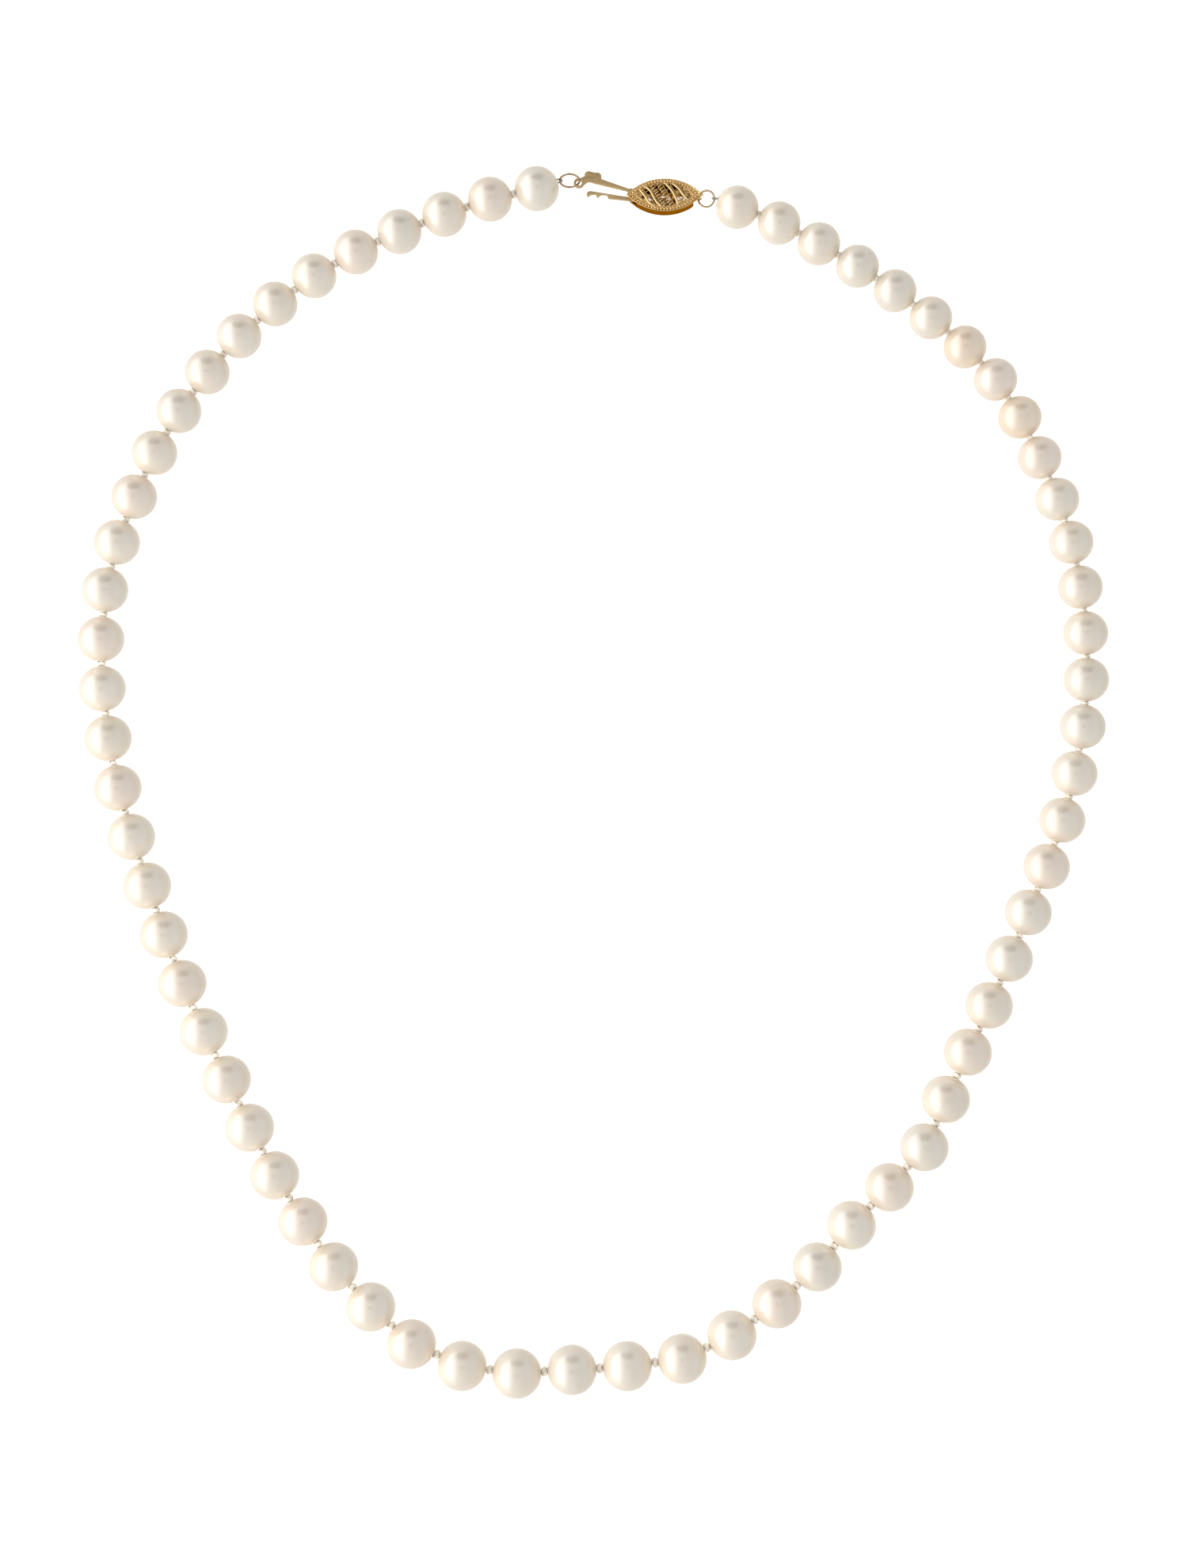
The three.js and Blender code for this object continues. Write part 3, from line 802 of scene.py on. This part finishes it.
def clasp_walls():
    """The smooth side wall, open at the mouth, and the web that closes it short of the right tip."""
    def solid_here(u, v):
        return u < WALL_RIGHT_END and not (u < MOUTH[0] and MOUTH[1] < v < MOUTH[2])

    skin = [(0.05, 0.74), (0.02, 0.6), (0.0, 0.2), (0.0, -0.3), (0.03, -0.6), (0.1, -0.74), (WALL, -0.74),
            (WALL, 0.74)]
    upper = band(skin, keep=lambda u, v: solid_here(u, v) and v > 0)
    lower = band(skin, keep=lambda u, v: solid_here(u, v) and v < 0)
    place(in_clasp(mesh_piece("clasp_side_wall", merge([upper, lower]), SHADED_GOLD)), "clasp_housing", "polished_gold",
          "clasp_wall")

    web = rounded([(3.58, -1.05), (3.95, -1.05), (3.95, 1.05), (3.58, 1.05)], 0.1)
    place(sheet_piece("clasp_end_web", [web], -0.72, 0.74, SHADED_GOLD), "clasp_housing", "polished_gold")


def clasp_back():
    """The flat back, with three oval openings."""
    outline = [p for p in marquise(HALF_LENGTH - 0.2, HALF_WIDTH - 0.1) if p[0] < WALL_RIGHT_END]
    ordered = sorted(outline, key=lambda p: math.atan2(p[1], p[0]))
    holes = [[(u + 1.3 * r * math.cos(2 * math.pi * k / 32), r * math.sin(2 * math.pi * k / 32)) for k in range(32)]
             for u, r in ((-2.2, 0.5), (0.0, 0.7), (2.2, 0.5))]
    place(sheet_piece("clasp_back_plate", [ordered, *holes], -HALF_DEPTH, PLATE - HALF_DEPTH, SHADED_GOLD, 0.07),
          "clasp_housing", "polished_gold", "clasp_back")


def catch_pin():
    """The pin inside the mouth that the hook's notched arm snaps past."""
    line = [(*CATCH_PIN_AT, w) for _, w in CATCH_PIN]
    skin = sweep(line, lambda t: CATCH_PIN[round(t * (len(CATCH_PIN) - 1))][0], sides=14)
    place(in_clasp(mesh_piece("clasp_catch_pin", skin, BRIGHT_GOLD)), "clasp_housing", "polished_gold", "catch_pin")


clasp_rim()
clasp_filigree()
clasp_walls()
clasp_back()
catch_pin()


# ---- The hook ----------------------------------------------------------------------------------
def hook():
    """The strip of sheet with its eye, thumb tab and arm, and the notched spring arm that folds back beside it."""
    lug = arc(EYE, EYE_OUTER, -28, -285, 34)
    tab = arc((-10.42, 3.2), 0.6, 195, 62, 12) + arc((-9.28, 2.98), 0.62, 112, -32, 14)
    arm = rounded([(-4.74, 1.3), (0.95, -0.6), (0.85, -1.12), (0.2, -1.24), (-0.1, -0.68), (-5.23, 0.76)], 0.16)
    under = [(-9.73, 2.06), (-10.2, 2.24), (-10.5, 2.26), (-10.8, 2.06), (-11.0, 1.86)]
    hole = arc(EYE, EYE_HOLE, 0, 348.75, 31)
    tongue = sheet_piece("hook_sheet", [lug + tab + arm + under, hole], -SHEET / 2, SHEET / 2, BRUSHED_GOLD, 0.045)
    place(tongue, "clasp_hook", "brushed_gold", "hook_tongue")

    notched = rounded([
        (-10.07, 0.84), (-10.4, 0.83), (-10.68, 0.63), (-10.74, 0.33), (-10.62, 0.11), (-10.43, 0.04),
        (-10.3, 0.24), (-10.2, 0.36), (-9.95, 0.32), (-9.7, 0.42), (-9.48, 0.36), (-9.18, -0.15), (-8.85, 0.28),
        (-8.4, 0.34), (-7.96, 0.29), (-7.72, -0.22), (-5.16, -0.5), (-0.05, -1.12), (-0.15, -0.92),
        (-5.09, -0.02)], 0.07, 3)
    spring_arm = sheet_piece("hook_notched_arm", [notched], -SHEET / 2, SHEET / 2, BRUSHED_GOLD, 0.045)
    place(spring_arm, "spring_arm", "brushed_gold", "hook_spring_arm")


hook()

# ---- Rings and thread ends ---------------------------------------------------------------------
LEFT_RING = {"centre": Vector((-3.35, 82.75, 2.2)), "across": Vector((1, 0, 0)), "up": Vector((0, 0.548, 0.836)),
             "radius": 1.35}
RIGHT_RING = {"centre": Vector((15.45, 80.25, 2.22)), "across": Vector((0.966, 0, 0.259)), "up": Vector((0, 1, 0)),
              "radius": 1.12}


def ring_skin(centre, across, up, radius, wire, cut, gap=2.2, steps=72):
    """A ring of round wire with a fine saw cut in it, at the angle cut and twice gap degrees wide."""
    line = []
    for k in range(steps + 1):
        angle = math.radians(cut + gap + (360 - 2 * gap) * k / steps)
        line.append(centre + (across * math.cos(angle) + up * math.sin(angle)) * radius)
    return sweep(line, wire, sides=12)


def jump_ring(name, ring, body, node, cut):
    skin = ring_skin(ring["centre"], ring["across"], ring["up"], ring["radius"], RING_WIRE, cut)
    place(mesh_piece(name, skin, RING_GOLD), body, "polished_gold", node)


def end_ring():
    centre = RIGHT_RING["centre"] - RIGHT_RING["across"] * RIGHT_RING["radius"]
    skin = ring_skin(centre, Vector((1, 0, 0)), Vector((0, 0, 1)), END_RING, EYE_WIRE, 150, gap=0.8, steps=40)
    place(mesh_piece("clasp_end_ring", skin, RING_GOLD), "clasp_housing", "polished_gold", "end_ring")


def thread_end(name, ring, side, pearl, body, node):
    """French wire, a sleeve of fine coiled wire, round the thread where it turns about a ring."""
    hold = ring["centre"] + ring["across"] * side * ring["radius"]
    turn = heading(pearl)
    reach = diameter(pearl) / 2 * PEARL_LENGTH_RATIO * (1 if side < 0 else -1)
    to_pearl = CENTRE[pearl] + Vector((math.cos(turn), math.sin(turn), 0)) * reach - hold
    to_pearl = (to_pearl - ring["up"] * to_pearl.dot(ring["up"])).normalized()
    across = ring["up"].cross(to_pearl)
    path = [hold + to_pearl * (GIMP_LEGS - GIMP_LEGS * k / 6) + across * GIMP_BEND for k in range(6)]
    for k in range(17):
        angle = math.pi * k / 16
        path.append(hold - to_pearl * GIMP_BEND * math.sin(angle) + across * GIMP_BEND * math.cos(angle))
    path += [hold + to_pearl * GIMP_LEGS * k / 6 - across * GIMP_BEND for k in range(1, 7)]

    lengths = [0.0]
    for before, after in zip(path, path[1:]):
        lengths.append(lengths[-1] + (after - before).length)
    per_turn = 9
    count = int(lengths[-1] / GIMP_PITCH * per_turn)
    coil = []
    for i in range(count + 1):
        s = lengths[-1] * i / count
        k = max(n for n in range(len(lengths) - 1) if lengths[n] <= s + 1e-9)
        t = (s - lengths[k]) / (lengths[k + 1] - lengths[k])
        point = path[k].lerp(path[k + 1], t)
        tangent = (path[k + 1] - path[k]).normalized()
        out = tangent.cross(ring["up"])
        angle = 2 * math.pi * i / per_turn
        coil.append(point + (ring["up"] * math.cos(angle) + out * math.sin(angle)) * (GIMP - GIMP_WIRE_INSET))
    place(mesh_piece(name, sweep(coil, GIMP_WIRE, sides=6), SILVER_WIRE), body, "french_wire", node)
    place(mesh_piece(f"{name}_core", sweep(path, GIMP_CORE, sides=7), SILK), body, "silk")


jump_ring("left_link", LEFT_RING, "left_ring", "jump_ring_left", 120)
jump_ring("right_link", RIGHT_RING, "right_ring", "jump_ring_right", 250)
end_ring()
thread_end("gimp_left", LEFT_RING, -1, 1, "clasp_hook", "thread_end_left")
thread_end("gimp_right", RIGHT_RING, 1, PEARLS, "clasp_housing", "thread_end_right")

# ---- Floor and light ---------------------------------------------------------------------------
FLOOR_SIZE = 3000.0
FLOOR_STEPS = 8
FLOOR_GLOW = 0.55                  # lifts the paper to the photo's white ground
STUDIO_LEFT = 2.6                  # how bright the big panel on the left is
STUDIO_RIGHT = 1.1                 # how bright the white card on the right is
STUDIO_REST = 0.77                 # how bright the rest of the studio is
STUDIO_BELOW = 0.86                # how bright the table looks in a reflection
STAND = ((0.02, 0.77), (0.46, 0.2))  # centre and half size in the sky of the camera's dark stand
LENS = ((0.0, 0.0), (0.15, 0.15))    # and of its lens
OVAL_EDGE = (0.4, 1.3)             # where those ovals start to fade and where they have faded out


def make_floor():
    """White paper, left out of reflections: the world stands in for it there, dimmer and warmer."""
    row = FLOOR_STEPS + 1
    verts = [(FLOOR_SIZE * (i / FLOOR_STEPS - 0.5), FLOOR_SIZE * (j / FLOOR_STEPS - 0.5), 0.0)
             for j in range(row) for i in range(row)]
    faces = [(j * row + i, j * row + i + 1, (j + 1) * row + i + 1, (j + 1) * row + i)
             for j in range(FLOOR_STEPS) for i in range(FLOOR_STEPS)]
    material, nodes, links, shader = new_material(
        "floor_paper", Roughness=0.9, Specular_IOR_Level=0.1, Emission_Strength=FLOOR_GLOW,
        Emission_Color=(1.0, 1.0, 1.0, 1.0))
    paper = noise(nodes, links, object_coordinates(nodes), 40.0)
    links.new(mix_colour(nodes, links, paper, (0.84, 0.84, 0.84), (0.86, 0.86, 0.855)), shader.inputs["Base Color"])
    floor = mesh_piece("floor", (verts, faces), material, smooth=False)
    floor.visible_glossy = False


def make_world():
    """A white studio with a bright panel on the left, the camera and its stand dark above, and a dimmer table."""
    world = bpy.data.worlds.new("studio")
    bpy.context.scene.world = world
    world.use_nodes = True
    nodes, links = world.node_tree.nodes, world.node_tree.links
    back = nodes["Background"]
    parts = nodes.new("ShaderNodeSeparateXYZ")
    links.new(nodes.new("ShaderNodeTexCoord").outputs["Generated"], parts.inputs[0])
    x, y, z = parts.outputs["X"], parts.outputs["Y"], parts.outputs["Z"]

    def dark_oval(centre, half_size):
        """The studio's brightness across an oval patch of sky: 0 in its middle and 1 outside it."""
        across = maths(nodes, links, "DIVIDE", maths(nodes, links, "SUBTRACT", x, centre[0]), half_size[0])
        up = maths(nodes, links, "DIVIDE", maths(nodes, links, "SUBTRACT", y, centre[1]), half_size[1])
        squares = [maths(nodes, links, "MULTIPLY", value, value) for value in (across, up)]
        return map_range(nodes, links, maths(nodes, links, "ADD", *squares), *OVAL_EDGE, 0.0, 1.0, smooth=True)

    left = map_range(nodes, links, x, -0.22, -0.85, 0.0, STUDIO_LEFT - STUDIO_REST, smooth=True)
    right = map_range(nodes, links, x, 0.4, 0.95, STUDIO_REST, STUDIO_RIGHT, smooth=True)
    panel = maths(nodes, links, "ADD", left, right)
    dark = maths(nodes, links, "MULTIPLY", dark_oval(*STAND), dark_oval(*LENS))
    strength = maths(nodes, links, "MULTIPLY", panel, dark)
    height = map_range(nodes, links, z, -0.25, 0.3, 0.0, 1.0, smooth=True)
    above = maths(nodes, links, "MULTIPLY", height, strength)
    below = map_range(nodes, links, height, 0.0, 1.0, STUDIO_BELOW, 0.0)
    links.new(maths(nodes, links, "ADD", above, below), back.inputs["Strength"])
    links.new(mix_colour(nodes, links, height, (1.0, 0.94, 0.83), (1.0, 0.99, 0.97)), back.inputs["Color"])


def add_softbox(name, location, target, size, power):
    light = bpy.data.lights.new(name, "AREA")
    light.shape = "RECTANGLE"
    light.size, light.size_y = size
    light.energy = power
    lamp = bpy.data.objects.new(name, light)
    lamp.location = location
    lamp.rotation_euler = (Vector(target) - Vector(location)).to_track_quat("-Z", "Y").to_euler()
    lamp.visible_glossy = False
    lamp.visible_camera = False
    bpy.context.scene.collection.objects.link(lamp)


make_floor()
make_world()
add_softbox("left_softbox", (-0.24, -0.11, 0.2), (-0.04, -0.02, 0.0), (0.16, 0.24), 0.36)
bpy.context.scene.view_settings.view_transform = "Standard"
